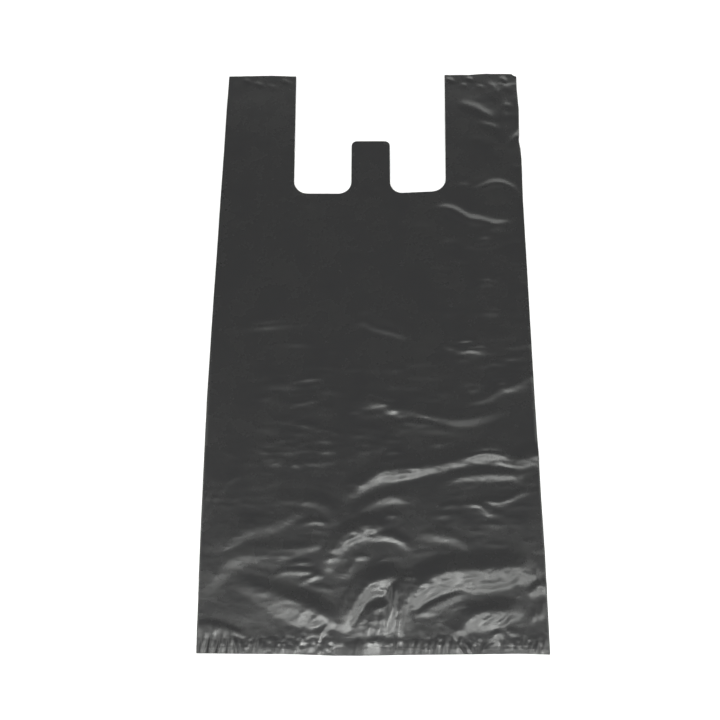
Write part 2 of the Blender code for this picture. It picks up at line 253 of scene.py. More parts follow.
# %% Routes of the narrow creases: each as (width of the far face, route)
CREASE_SOFTNESS = 0.7
CREASES = [
    # Over the long ridge
    (3, [(72, 156, 3, 0), (86, 159.5, 4, 0.6), (98, 161.5, 4, 0.7), (110, 159.5, 4, 0.6),
         (120, 155, 2, 0)]),
    (3, [(2, 139, 2, 0), (14, 141, 3, 0.4), (30, 142.5, 3, 0.4), (46, 144.5, 2, 0)]),
    (3, [(96, 150, 2, 0), (108, 151.5, 3, 0.5), (122, 149, 3, 0.5), (134, 152, 2, 0)]),
    # Right of the middle
    (4, [(70, 116, 3, 0), (79, 118, 4, 0.8), (88, 117.5, 4.5, 1.3), (95, 113, 4, 1.1),
         (100, 109, 3, 0)]),
    (4, [(84, 119, 3, 0), (95, 120.5, 4, 0.9), (106, 120, 4, 1.0), (116, 124, 4, 0.8),
         (124, 128, 4, 0.6), (131, 129, 3, 0)]),
    (3, [(90, 109, 2.5, 0), (99, 110.5, 3, 0.6), (111, 108.5, 2.5, 0)]),
    (4, [(54, 114.5, 3, 0), (66, 117, 3.5, 0.5), (76, 116, 3, 0)]),
    (4, [(46, 107, 3, 0), (60, 109, 4, 0.5), (79, 109, 3, 0)]),
    (3, [(84, 101, 3, 0), (98, 101.5, 3, 0.4), (112, 101, 3, 0)]),
    (7, [(35, 91, 3, 0), (44, 93, 6, 0.6), (56, 93, 6.5, 0.7), (67, 90, 6.5, 0.6), (76, 85, 5, 0.4),
         (84, 79, 3, 0)]),
    # In and over the arch
    (3, [(7, 107.5, 3, 0), (15, 108.5, 3, 0.6), (27, 106, 3, 0)]),
    (3, [(-19, 73, 3, 0), (-10, 75.5, 3.5, 0.7), (-1, 74.5, 3, 0)]),
    (2.5, [(-27, 80, 2, 0), (-20, 88, 2.5, 0.5), (-12, 91, 2.5, 0.45), (-4, 88, 2, 0)]),
    (2.5, [(-18, 95, 2, 0), (-10, 94, 2.5, 0.4), (0, 96.5, 2.5, 0.4), (8, 94, 2, 0)]),
    # Left of the middle
    (3, [(-59, 103, 3, 0), (-50, 104, 3.5, 0.6), (-42, 103, 3.5, 0.6), (-35, 101, 3, 0)]),
    (4, [(-80, 61.5, 3, 0), (-66, 63.5, 3.5, 0.45), (-52, 63, 3.5, 0.6), (-40, 60, 3, 0)]),
    (4, [(-63, 53, 3, 0), (-55, 56, 4, 0.5), (-46, 60, 4, 0.65), (-39, 59, 3, 0)]),
    (3, [(-72, 68, 3, 0), (-60, 70.5, 3, 0.5), (-46, 70, 3, 0)]),
    (4, [(-48, 10, 3, 0), (-43, 15, 4.5, 0.5), (-38, 20, 4.5, 0.5), (-34, 24, 3, 0)]),
    (3, [(-52, 17, 3, 0), (-48, 25, 4, 0.5), (-44, 31, 3, 0)]),
    (3, [(-64, 22, 2.5, 0), (-58, 29, 3, 0.35), (-52, 34, 2.5, 0)]),
    # On the fan: the hot lip of its plate, and the long folds beside it
    (4, [(-4, 46, 3, 0), (0, 47.5, 5, 0.4), (7, 48, 5.5, 0.5), (12, 47.5, 5, 0.4), (16, 45, 3, 0)]),
    (3, [(-7, 50, 2, 0), (-1, 53, 3, 0.35), (6, 52.5, 3, 0.35), (12, 54, 2, 0)]),
    (2.5, [(-21, 18, 2.5, 0), (-14, 30, 3, 0.4), (-8, 38, 3, 0.4), (-3, 44, 2.5, 0)]),
    (4, [(14, 18, 2.5, 0), (15.5, 33, 5, 1.5), (16.5, 45, 5, 1.6), (16.5, 56, 2.5, 0)]),
    (4, [(20.5, 12, 2.5, 0), (21.5, 24, 4, 1.2), (24, 42, 4, 1.3), (25.5, 59, 2.5, 0)]),
    (4, [(27.5, 28, 2.5, 0), (29.5, 46, 4, 1.2), (31.5, 56, 4, 0.7), (33.5, 64, 2, 0)]),
    (2.5, [(5, 10, 2.5, 0), (6.5, 24, 3, 1.0), (9, 38, 2.5, 0)]),
    (2.5, [(10.5, 11, 2.5, 0), (11.5, 25, 3, 1.1), (13, 38, 2.5, 0)]),
    (2.5, [(-5, 10, 2.5, 0), (-3, 20, 3, 0.8), (0, 31, 2.5, 0)]),
    (2, [(34, 64, 2, 0), (36, 67, 2.5, 0.4), (38, 66, 2, 0)]),
    # On the arch
    (2, [(-24, 84, 2, 0), (-18, 89, 2.5, 0.6), (-11, 92, 2.5, 0.6), (-4, 90, 2, 0)]),
    (2, [(-12, 97, 2, 0), (-9, 92, 2.5, 0.5), (-2, 89, 2, 0)]),
    # On the plates at the right
    (3, [(46, 49, 2.5, 0), (58, 55, 3, 0.25), (70, 60, 2.5, 0)]),
    (3, [(29, 34, 2, 0), (36, 43, 3, 0.4), (46, 52, 3, 0.3), (58, 59, 2, 0)]),
    (3, [(31, 31, 2, 0), (40, 41, 3, 0.3), (52, 49, 3, 0.3), (66, 55, 2, 0)]),
    (3, [(60, 50, 2.5, 0), (74, 57, 3, 0.2), (90, 60, 3, 0.2), (104, 62, 2, 0)]),
    (3, [(104, 52, 2, 0), (112, 58, 3, 0.3), (120, 64, 2, 0)]),
    (3, [(70, 50, 3, 0), (84, 53, 4, 0.4), (98, 54, 4, 0.45), (110, 56, 3.5, 0.4), (118, 60, 2.5, 0)]),
    (3, [(100, 55, 2.5, 0), (108, 60, 3, 0.3), (114, 65, 2.5, 0)]),
    (2.5, [(86, 22, 2.5, 0), (92, 27, 3, 0.4), (99, 32, 2.5, 0)]),
    (2.5, [(96, 21, 2, 0), (103, 25, 3, 0.6), (109, 30, 2.5, 0.4), (112, 32, 2, 0)]),
    (2.5, [(131, 66, 2, 0), (133, 58, 2.5, 0.8), (136, 50, 2, 0)]),
    (2.5, [(126, 24, 2, 0), (129, 30, 3, 0.7), (130, 38, 2, 0)]),
    (2.5, [(133, 26, 2, 0), (135, 33, 3, 0.8), (136, 42, 2, 0)]),
    # Under the arch, down to the fan
    (4, [(-24, 60, 3, 0), (-18, 68, 4, 0.5), (-14, 76, 3, 0)]),
    # Across the middle of the bag
    (6, [(-132, 269, 3, 0), (-100, 272.5, 4, 1.05), (-80, 274.5, 4, 1.05), (-33, 277, 3, 0)]),
    (12, [(-16, 274, 3, 0), (-8, 278, 4.5, 1.4), (0, 272.5, 4.5, 1.55), (20, 267, 4.5, 1.5),
          (37, 260, 3, 0)]),
    (10, [(58, 258, 2, 0), (65, 254.5, 3, 1.1), (76, 251, 3, 1.15), (87, 250.5, 3, 1.15),
          (101, 246, 2, 0)]),
    (5, [(-82, 256, 3, 0), (-66, 257, 3.5, 0.9), (-50, 256, 3, 0)]),
    (7, [(-102, 215, 3, 0), (-76, 220.5, 4, 0.75), (-58, 225.5, 4, 0.7), (-38, 226, 3, 0)]),
    (5, [(-82, 200, 3, 0), (-60, 204.5, 4, 0.9), (-38, 209, 3, 0)]),
    (11, [(-28, 200, 3, 0), (-14, 203, 7, 0.8), (-2, 204.5, 7.5, 1.05), (6, 204, 7.5, 1.3),
          (14, 201, 7.5, 1.65), (23, 197.5, 7.5, 1.65), (36, 195.5, 7, 1.25), (52, 192, 7, 1.1),
          (65, 189.5, 7, 1.35), (80, 189.5, 7, 1.4), (95, 192.5, 7, 1.25), (116, 197, 3, 0)]),
    (6, [(20, 187, 3, 0), (36, 186, 4.5, 0.6), (56, 181, 4.5, 0.6), (76, 178, 3, 0)]),
    (7, [(78, 203, 3, 0), (95, 207, 5, 1.1), (106, 214, 6, 1.3), (119, 220, 6, 1.35),
         (137, 227, 4, 0.6)]),
    (4, [(6, 216, 3, 0), (16, 218, 3, 0.4), (27, 219, 3, 0)]),
    (4, [(88, 286, 2.5, 0), (102, 287.5, 3.5, 1.1), (117, 286.5, 2.5, 0)]),
    (4, [(88, 312, 2.5, 0), (103, 313.5, 3.5, 1.1), (120, 311.5, 2.5, 0)]),
    (5, [(109, 353.5, 2.5, 0), (101, 354, 4, 0.9), (93, 352, 2.5, 0)]),
    # Under the right handle
    (7, [(124, 366, 4, 0), (110, 370.5, 7.5, 1.6), (96, 374, 8, 2.0), (86, 376, 8, 2.1),
         (78, 381.5, 8, 2.1), (71, 385.5, 7.5, 1.8), (63, 387.5, 5.5, 1.2), (54, 387, 3, 0)]),
    (4, [(93, 408.5, 2.5, 0), (84, 410.5, 4, 0.95), (75, 409, 2.5, 0)]),
    (5, [(136, 396, 3, 0), (130, 406, 5, 1.3), (121, 411.5, 6, 1.5), (112, 412.5, 6, 1.5),
         (103, 409.5, 5.5, 1.3), (96, 407, 4, 0.8), (88, 404, 3, 0)]),
    (3, [(10, 404.5, 2.5, 0), (3, 405.5, 3, 0.5), (-4, 404, 2.5, 0)]),
    (4, [(-67, 389, 2.5, 0), (-60, 387.5, 3, 0.5), (-53, 383, 2.5, 0)]),
    # The right handle
    (2, [(125, 529, 3, 0.3), (126, 518, 5, 0.9), (125, 498, 5, 0.9), (123, 468, 5, 0.8),
         (122.5, 447, 3, 0)]),
    (4, [(132, 521, 3, 0), (126, 514, 4.5, 1.0), (120, 510, 3, 0)]),
    (4, [(129, 489, 3, 0), (124, 482, 4.5, 0.9), (118, 478, 3, 0)]),
    (5, [(142, 467, 5, 1.7), (135, 459.5, 5, 1.7), (127, 451, 3, 0)]),
    (7, [(119, 478, 3, 0), (110, 484, 6, 1.15), (101, 490, 6.5, 1.25), (92, 495, 6.5, 1.1),
         (82, 501, 3, 0)]),
    (7, [(125, 467, 3, 0), (116, 471, 5.5, 0.95), (108, 475, 5.5, 0.95), (99, 480, 3, 0)]),
    (4, [(128, 498, 3, 0), (122, 508, 4, 0.7), (115, 518, 4, 0.7), (111, 528, 3, 0)]),
    (4, [(122, 498, 3, 0), (117, 505, 4, 0.6), (109, 513, 3, 0)]),
    (3, [(132, 494, 2, 0), (128, 496.5, 3, 0.9), (124, 494, 2, 0)]),
]

crease_height = np.zeros_like(ACROSS)
for far, points in CREASES:
    draw_crease(crease_height, points, far)
crease_height = blurred(crease_height, CREASE_SOFTNESS)
print("narrow creases:", len(CREASES))

# %% [markdown]
# ## Fine rumpling
# Between the creases the film is never quite flat. It keeps many short, shallow lines, mostly
# across the bag, from the pack it came in. They are scattered by a seeded random generator, so
# they come out the same each time. There are more of them in the creased lower part.

# %% Scatter the short lines
FAR_SHARE = 1.6
RUMPLE_SOFTNESS = 0.75


def scatter(field, count, seed, x_range, y_range, length, near, height, lean):
    """Draws many short creases in a rectangle of the bag. A length below 0 turns them to the handles."""
    rng = np.random.default_rng(seed)
    for _ in range(count):
        x, y = rng.uniform(*x_range), rng.uniform(*y_range)
        half, tilt = rng.uniform(*length) / 2, rng.normal(0, lean)
        bend = rng.uniform(-0.15, 0.15) * half
        dx, dy = half * math.cos(tilt), half * math.sin(tilt)
        wide, high = rng.uniform(*near), rng.uniform(*height)
        middle = (x - bend * math.sin(tilt), y + bend * math.cos(tilt), wide, high)
        ends = (x - dx, y - dy, wide, 0), (x + dx, y + dy, wide, 0)
        draw_crease(field, [ends[0], middle, ends[1]], FAR_SHARE * wide)


rumple = np.zeros_like(ACROSS)
scatter(rumple, 130, 11, (-40, 138), (12, 165), (10, 34), (1.6, 3.2), (0.10, 0.30), 0.22)
scatter(rumple, 70, 17, (-138, -40), (60, 165), (12, 40), (1.8, 3.4), (0.10, 0.28), 0.15)
scatter(rumple, 80, 12, (-92, -38), (150, 240), (14, 40), (2.6, 3.8), (0.40, 0.80), 0.10)
scatter(rumple, 70, 13, (-15, 60), (160, 240), (10, 30), (2.4, 3.6), (0.35, 0.70), 0.12)
scatter(rumple, 110, 14, (78, 130), (215, 350), (10, 30), (2.6, 3.6), (0.50, 1.1), 0.10)
scatter(rumple, 60, 15, (-130, 70), (240, 400), (14, 40), (2.4, 3.6), (0.15, 0.5), 0.10)
scatter(rumple, 44, 18, (60, 128), (285, 372), (-30, -10), (3.0, 4.0), (0.7, 1.15), 0.06)
scatter(rumple, 26, 16, (96, 136), (380, 520), (8, 22), (2.4, 3.6), (0.15, 0.45), 0.5)
rumple = blurred(rumple, RUMPLE_SOFTNESS)
print("short lines rise to", round(float(rumple.max()), 2), "mm")

# %% Crumple the film between the lines, most where it is raised
wrinkled_part = 1 - smoothstep(150, 215, ALONG)
raised = smoothstep(0.2, 1.4, blurred(lap_height, 3.0))
crumple = 0.6 * np.abs(waves(12, 5.5, 21)) + 0.5 * np.abs(waves(6, 3.2, 22)) + 0.4 * waves(3.4, 2.2, 25)
swell = waves(45, 22, 23) + 0.6 * waves(20, 12, 24)
rumple += blurred(0.7 - crumple, 0.5) * (0.04 + 0.07 * wrinkled_part + 0.15 * raised)
rumple += swell * (0.08 + 0.12 * wrinkled_part)

# %% [markdown]
# ## The weld and the hem below it
# The bottom weld pulls the film together, so narrow gathers run up from it. Below it a few
# millimetres of the layers hang on as a hem, which is ribbed. Where the weld has bent up, its
# glossy melted line glints.

# %% Gathers as (x, foot, head, lean, height), and glints as (x, y, half length, height)
GATHERS = [(-137, 0, 19, 3, 1.1), (-130, 0, 23, 3, 1.3), (-123, 1, 19, 4, 1.2), (-115, 0, 20, 2, 1.3),
           (-108, 2, 15, -4, 1.1), (-104, 4, 12, -3, 0.6), (-96, 3, 14, 3, 0.7), (-91, 4, 13, 2, 0.7),
           (-86, 3, 10, -2, 0.5), (-78, 4, 9, 2, 0.5), (-73, 4, 10, 3, 0.5), (-62, 5, 10, 2, 0.4),
           (-43, 13, 23, 8, 0.6), (-14, 3, 12, 3, 0.4), (18, 5, 18, 2, 0.6),
           (26, 0, 10, 1, 0.7), (33, 1, 14, 4, 0.8), (39, 0, 11, 2, 0.6), (44, 1, 15, 3, 0.7),
           (49, 0, 16, 3, 0.7), (55, 1, 17, 4, 0.8), (61, 0, 16, 3, 0.7), (68, 8, 14, 3, 0.6),
           (73, 0, 9, -8, 0.9), (79, 1, 10, -6, 0.7), (86, 2, 9, 3, 0.4), (113, 0, 14, 0, 0.5),
           (118, 1, 20, 1, 0.6), (124, 3, 12, 3, 0.7), (129, 4, 13, 3, 0.7), (135, 5, 14, 2, 0.7)]
GLINTS = [(-130, 5, 4, 0.3), (-116, 5, 4, 0.3), (-94, 12, 6, 0.3), (-77, 9, 6, 0.28), (-66, 9.6, 4, 0.25),
          (-57, 9, 6, 0.28), (-48, 9, 6, 0.28), (-33.5, 9.6, 4, 0.4), (-3, 9.2, 4, 0.3), (2, 9.6, 4, 0.3),
          (26, 8.6, 4, 0.4), (32, 9.4, 4, 0.4), (41, 8.6, 3, 0.4), (47, 9.4, 6, 0.4),
          (54, 12, 6, 0.4), (60.5, 12, 4, 0.35), (81, 9.4, 5, 0.3), (121, 8, 3, 0.3), (125, 11.4, 4, 0.4),
          (130, 12, 4, 0.4), (134, 13, 4, 0.4)]
weld_detail = np.zeros_like(ACROSS)
for x, foot, head, lean, height in GATHERS:
    middle = (x + 0.35 * lean, 0.6 * foot + 0.4 * head, 2.6, height)
    draw_crease(weld_detail, [(x, foot - 3, 2.4, 0.8 * height), middle, (x + lean, head, 2.0, 0)], 2.6)
for x, y, half, height in GLINTS:
    ends = (x - half, y - 0.8, 2.6, 0), (x + half, y - 0.8, 2.6, 0)
    draw_crease(weld_detail, [ends[0], (x, y, 3.4, height), ends[1]], 4.0)
print("gathers:", len(GATHERS), "and glints:", len(GLINTS))

# %% Ribs of the hem, and the groove of the weld
RIB_HEIGHT = 0.26
HEM_LIFT = 0.35
WELD_Y, WELD_GROOVE, GROOVE_HALF = 6.0, 0.08, 0.9
WELD_SOFTNESS = 0.55
for number, (low_x, high_x) in enumerate([(-139, -104), (-104, -34), (18, 68), (112, 139)]):
    scatter(weld_detail, round(1.6 * (high_x - low_x)), 40 + number, (low_x, high_x), (3, 17), (4, 11),
            (1.8, 3.0), (0.12, 0.42), 0.9)
scatter(weld_detail, 34, 45, (38, 86), (7, 21), (5, 13), (2.0, 3.2), (0.15, 0.40), 0.9)
scatter(weld_detail, 60, 44, (-34, 112), (2, 12), (5, 12), (1.8, 2.8), (0.10, 0.25), 0.9)
rib_waves = waves(2.4, 30, 31) + 0.8 * waves(5.5, 30, 32)
ribs = RIB_HEIGHT * rib_waves * (1 - smoothstep(4.0, 15, ALONG))
weld_detail += ribs + HEM_LIFT * (1 - smoothstep(8, 60, ALONG))
weld_detail -= WELD_GROOVE * np.exp(-(((ALONG - WELD_Y) / GROOVE_HALF) ** 2))
weld_detail = blurred(weld_detail, WELD_SOFTNESS)

# %% Crimps in the welds of the two handles, as (x, y, half length, height)
CRIMPS = [(-110, 520, 6, 0.4), (-97, 517, 5, 0.35), (-122, 524, 5, 0.4), (-84, 523, 5, 0.4),
          (75, 524, 4, 1.0), (94, 525, 3, 0.9), (88, 518, 3, 0.6), (104, 516, 5, 0.6),
          (126, 524, 4, 0.9), (132, 513, 3, 0.9), (129, 494, 2, 0.9)]
CRIMP_SOFTNESS = 0.6
crimps = np.zeros_like(ACROSS)
for x, y, half, height in CRIMPS:
    draw_crease(crimps, [(x + half, y - 3, 2.5, 0), (x, y, 3.5, height), (x - half, y + 3, 2.5, 0)], 3.0)
crimps += 0.16 * waves(3.5, 14, 33) * smoothstep(517, 525, ALONG)
crimps = blurred(crimps, CRIMP_SOFTNESS)

# %% Put the layers of height together
HELD_BY_WELD = 12
HELD_BY_TOP_WELD = 10
DEEPEST = -0.08
free = smoothstep(SEAL_Y, SEAL_Y + HELD_BY_WELD, ALONG)
free *= 1 - smoothstep(TOP_SEAL_Y - HELD_BY_TOP_WELD, TOP_SEAL_Y, ALONG)
LIFT = np.maximum(free * (lap_height + crease_height + rumple) + weld_detail + crimps, DEEPEST)
print("the front film rises to", round(float(LIFT.max()), 2), "mm")


def read_map(field, x, y):
    """Reads a height map between its cells."""
    u = np.clip((x - GRID_X[0]) / CELL, 0, len(GRID_X) - 1.001)
    v = np.clip((y - GRID_Y[0]) / CELL, 0, len(GRID_Y) - 1.001)
    iu, iv = u.astype(int), v.astype(int)
    fu, fv = u - iu, v - iv
    low = field[iv, iu] * (1 - fu) + field[iv, iu + 1] * fu
    high = field[iv + 1, iu] * (1 - fu) + field[iv + 1, iu + 1] * fu
    return low * (1 - fv) + high * fv


# %% [markdown]
# ## The film
# The real film is one tube. Here it is made as two pieces that meet inside the side folds, so that
# the front can have a very fine mesh: the front panel, which carries the creases, and the back with
# the two gussets, which lie almost flat. The points are worked out with NumPy and handed to Blender
# as meshes. Solidify then gives the film its thickness.

# %% Values of the film, with the weld's rise off the table as (x, rise)
FILM = 0.15
TABLE_GAP = 0.02
LAYER_PITCH = 0.5
SEALED_PITCH = 0.2
GUSSET_DEPTH = 75.0
FOLD_RADIUS = LAYER_PITCH / 2
BAG_LENGTH = 530.0
WELD_LIFT = [(-142, 0.0), (-120, 0.2), (-100, 0.1), (-60, 0.1), (-34, 0.2), (-20, 0.1), (-9, 0.1),
             (-5, 0.8), (4, 0.8), (8, 0.1), (34, 0.2), (50, 0.3), (66, 0.2), (84, 0.0), (98, 0.2),
             (116, 0.1), (128, 0.2), (142, 0.1)]


def layer_height(x, y, layer):
    """The middle of a film layer above the table: 0 is the back, 3 the front."""
    loose = smoothstep(SEAL_Y, SEAL_Y + 100, y) * (1 - 0.6 * smoothstep(TOP_SEAL_Y - 45, TOP_SEAL_Y, y))
    pitch = SEALED_PITCH + (LAYER_PITCH - SEALED_PITCH) * loose
    below_weld = np.exp(-((np.minimum(y - SEAL_Y, 0) / 5.0) ** 2))
    rise = along_line(WELD_LIFT, x) * below_weld * (1 - smoothstep(SEAL_Y, SEAL_Y + 45, y))
    return FILM / 2 + TABLE_GAP + layer * pitch + rise


def on_outline(x, y):
    """Moves rows near the two ends of the bag onto its uneven outline."""
    bottom = along_line(BOTTOM_END, x) * (1 - smoothstep(0, 8, y))
    top = (along_line(TOP_END, x) - BAG_LENGTH) * smoothstep(BAG_LENGTH - 10, BAG_LENGTH, y)
    return y + bottom + top


def half_turn(x, towards, z_from, z_to):
    """Points round a fold, as (x, z), from one layer to the next."""
    angles = np.pi * np.arange(1, FOLD_POINTS + 1) / (FOLD_POINTS + 1)
    return (x + towards * FOLD_RADIUS * np.sin(angles),
            (z_from + z_to) / 2 + (z_from - z_to) / 2 * np.cos(angles))


# %% [markdown]
# ### The front panel
# The rows are close together where the film is creased, and the columns are twice as many there.
# Where a row meets one with half as many points, a five-sided face joins each pair of its edges.

# %% Rows of the front panel: bands as (columns, step between rows, where the band ends)
FRONT_BANDS = [(384, 0.9, 14), (192, 1.35, 168), (96, 1.35, 262), (96, 2.2, 518), (192, 1.0, BAG_LENGTH)]
FOLD_POINTS = 3


def band_rows(bands):
    """Each row's columns and its place along the bag, the last row at the end of the last band."""
    rows, start = [], 0.0
    for columns, step, end in bands:
        count = round((end - start) / step)
        rows += [(columns, start + (end - start) * i / count) for i in range(count)]
        start = end
    return [*rows, (bands[-1][0], start)]


def front_row(columns, y):
    """One row of the front panel with its two side folds, as arrays x, y, z in millimetres."""
    left, right = along_line(LEFT_SIDE, y) + FOLD_RADIUS, along_line(RIGHT_SIDE, y) - FOLD_RADIUS
    x = np.linspace(left, right, columns + 1)
    z = layer_height(x, y, 3) + read_map(LIFT, x, np.full_like(x, y))
    left_x, left_z = half_turn(left, -1, layer_height(left, y, 2), z[0])
    right_x, right_z = half_turn(right, 1, z[-1], layer_height(right, y, 2))
    x = np.concatenate([[left], left_x, x, right_x, [right]])
    z = np.concatenate([[layer_height(left, y, 2)], left_z, z, right_z, [layer_height(right, y, 2)]])
    return x, on_outline(x, y), z


def stitch(lower, upper):
    """Faces between two rows of point numbers, one of which may have twice the points."""
    if len(lower) == len(upper):
        return [(lower[i], lower[i + 1], upper[i + 1], upper[i]) for i in range(len(lower) - 1)]
    if len(lower) > len(upper):
        return [(*lower[2 * i:2 * i + 3], upper[i + 1], upper[i]) for i in range(len(upper) - 1)]
    return [(lower[i], lower[i + 1], *upper[2 * i:2 * i + 3][::-1]) for i in range(len(lower) - 1)]


def mesh_object(name, points, faces):
    """A mesh from NumPy points and faces, linked to the scene."""
    mesh = bpy.data.meshes.new(name)
    mesh.from_pydata(points.tolist(), [], faces)
    made = bpy.data.objects.new(name, mesh)
    bpy.context.scene.collection.objects.link(made)
    return made


def make_front():
    """Each row is stitched to the one before in three parts: the left fold, the panel, the right fold."""
    side = FOLD_POINTS + 1
    points, faces = [], []
    before, count = None, 0
    for columns, y in band_rows(FRONT_BANDS):
        row = np.stack(in_frame(*front_row(columns, y)), axis=1)
        points.append(row)
        numbers = list(range(count, count + len(row)))
        count += len(row)
        if before:
            for part in (slice(0, side + 1), slice(side, -side), slice(-side - 1, None)):
                faces += stitch(before[part], numbers[part])
        before = numbers
    return mesh_object("front_film", np.vstack(points), faces)


def apply_modifiers(made):
    """Bakes an object's modifiers into its mesh."""
    graph = bpy.context.evaluated_depsgraph_get()
    mesh = bpy.data.meshes.new_from_object(made.evaluated_get(graph))
    made.modifiers.clear()
    made.data = mesh


def thicken(made, thickness):
    """Gives the film its thickness, half to each side of its points."""
    wall = made.modifiers.new("thickness", "SOLIDIFY")
    wall.thickness = thickness * MM
    wall.offset = 0.0
    apply_modifiers(made)


front = make_front()
thicken(front, FILM)
print("front film:", len(front.data.polygons), "faces")

# %% [markdown]
# ### The back and the gussets
# In section this piece runs from the right side fold in to the gusset's fold, out again, round to
# the back, across, and the same way into the left gusset. It waves a little, as loose film does.

# %% Make the back and the gussets
GUSSET_COLUMNS, BACK_COLUMNS = 12, 72
BACK_BANDS = [(0, 1.4, 22), (0, 4.0, 512), (0, 1.8, BAG_LENGTH)]
BACK_WAVES = blurred(0.09 * (1 + waves(26, 9, 51)) + 0.05 * (1 + waves(12, 5, 52)), 1.0)


def back_row(y):
    """One row of the back and the gussets, as arrays x, y, z in millimetres."""
    left, right = along_line(LEFT_SIDE, y) + FOLD_RADIUS, along_line(RIGHT_SIDE, y) - FOLD_RADIUS
    right_in, left_in = right - GUSSET_DEPTH, left + GUSSET_DEPTH
    turns = [(right, right_in, 2), (right_in, right, 1), (right, left, 0), (left, left_in, 1),
             (left_in, left, 2)]
    loose = smoothstep(8, 20, y) * (1 - smoothstep(510, 522, y))
    xs, zs = [], []
    for x_from, x_to, layer in turns:
        x = np.linspace(x_from, x_to, (BACK_COLUMNS if layer == 0 else GUSSET_COLUMNS) + 1)
        z = layer_height(x, y, layer) + read_map(BACK_WAVES, x, np.full_like(x, y)) * loose
        if xs:
            towards = 1 if x_from in (right, left_in) else -1
            fold_x, fold_z = half_turn(x_from, towards, zs[-1][-1], z[0])
            xs.append(fold_x)
            zs.append(fold_z)
        xs.append(x)
        zs.append(z)
    x, z = np.concatenate(xs), np.concatenate(zs)
    return x, on_outline(x, y), z


def make_back():
    """The rows are stitched the other way round from the front's, so that the faces look outwards."""
    rows = [np.stack(in_frame(*back_row(y)), axis=1) for _, y in band_rows(BACK_BANDS)]
    width = len(rows[0])
    faces = []
    for i in range(len(rows) - 1):
        lower, upper = range(i * width, (i + 1) * width), range((i + 1) * width, (i + 2) * width)
        faces += [face[::-1] for face in stitch(lower, upper)]
    return mesh_object("back_and_gussets", np.vstack(rows), faces)


back = make_back()
thicken(back, FILM)
print("back and gussets:", len(back.data.polygons), "faces")

# %% [markdown]
# ## Striking out the mouth
# On a real line a steel die strikes the mouth through every layer at once. A Boolean does the same
# here. Its Manifold solver is quick on a mesh this fine, and both meshes are closed, as it needs.

# %% The die's outline, each corner as (x, y, radius)
MOUTH = [(-74.6, 545, 0), (-73.4, 403, 13), (-20, 402.8, 12), (-20, 457.6, 5), (16, 457.6, 5),
         (16, 403, 11), (67.7, 405.5, 13.5), (69.9, 545, 0)]
DIE_DEPTH = 20.0


def rounded(corners, steps=10):
    """An outline through corners, each rounded by an arc."""
    points = []
    for i, (x, y, radius) in enumerate(corners):
        if radius == 0:
            points.append((x, y))
            continue
        before, after = corners[i - 1], corners[(i + 1) % len(corners)]
        to_before = math.atan2(before[1] - y, before[0] - x)
        to_after = math.atan2(after[1] - y, after[0] - x)
        turn = math.remainder(to_after - to_before, 2 * math.pi)
        middle = to_before + turn / 2
        reach = radius / abs(math.sin(turn / 2))
        spread = math.copysign(math.pi - abs(turn), turn)
        for step in range(steps + 1):
            angle = middle + math.pi + spread * (0.5 - step / steps)
            points.append((x + reach * math.cos(middle) + radius * math.cos(angle),
                           y + reach * math.sin(middle) + radius * math.sin(angle)))
    return points


def make_die():
    """A block in the shape of the mouth that reaches through every layer."""
    bm = bmesh.new()
    places = [in_frame(x, y, -DIE_DEPTH) for x, y in rounded(MOUTH)]
    bm.faces.new([bm.verts.new([float(value) for value in place]) for place in places])
    raised = bmesh.ops.extrude_face_region(bm, geom=bm.faces[:])["geom"]
    for vertex in (item for item in raised if isinstance(item, bmesh.types.BMVert)):
        vertex.co.z += 2 * DIE_DEPTH * MM
    bmesh.ops.recalc_face_normals(bm, faces=bm.faces)
    mesh = bpy.data.meshes.new("die")
    bm.to_mesh(mesh)
    bm.free()
    die = bpy.data.objects.new("die", mesh)
    bpy.context.scene.collection.objects.link(die)
    return die


die = make_die()
for piece in (front, back):
    cut = piece.modifiers.new("mouth", "BOOLEAN")
    cut.object = die
    cut.operation = "DIFFERENCE"
    cut.solver = "MANIFOLD"
    apply_modifiers(piece)
    triangles = sum(len(face.vertices) - 2 for face in piece.data.polygons)
    print(piece.name, "after the die:", triangles, "triangles")
bpy.data.objects.remove(die)

# %% Shade the pieces smoothly, apart from their cut edges
CUT_EDGE = math.radians(60)
for piece in (front, back):
    piece.data.shade_smooth()
    piece.data.set_sharp_from_angle(angle=CUT_EDGE)

# %% [markdown]
# ## The film's finish
# Thin polythene is dark and satin, with a fine crinkle across the bag and faint lines along it from
# the die that the tube was blown through. Along the welds it has melted, and is glossier. The front
# and the back differ only in how crinkled they are, so the crinkle is a node group, placed in each
# material with its own values.

# %% The crinkle group
def node(tree, kind, **settings):
    """A new node with some of its settings."""
    made = tree.nodes.new(kind)
    for name, value in settings.items():
        setattr(made, name, value)
    return made


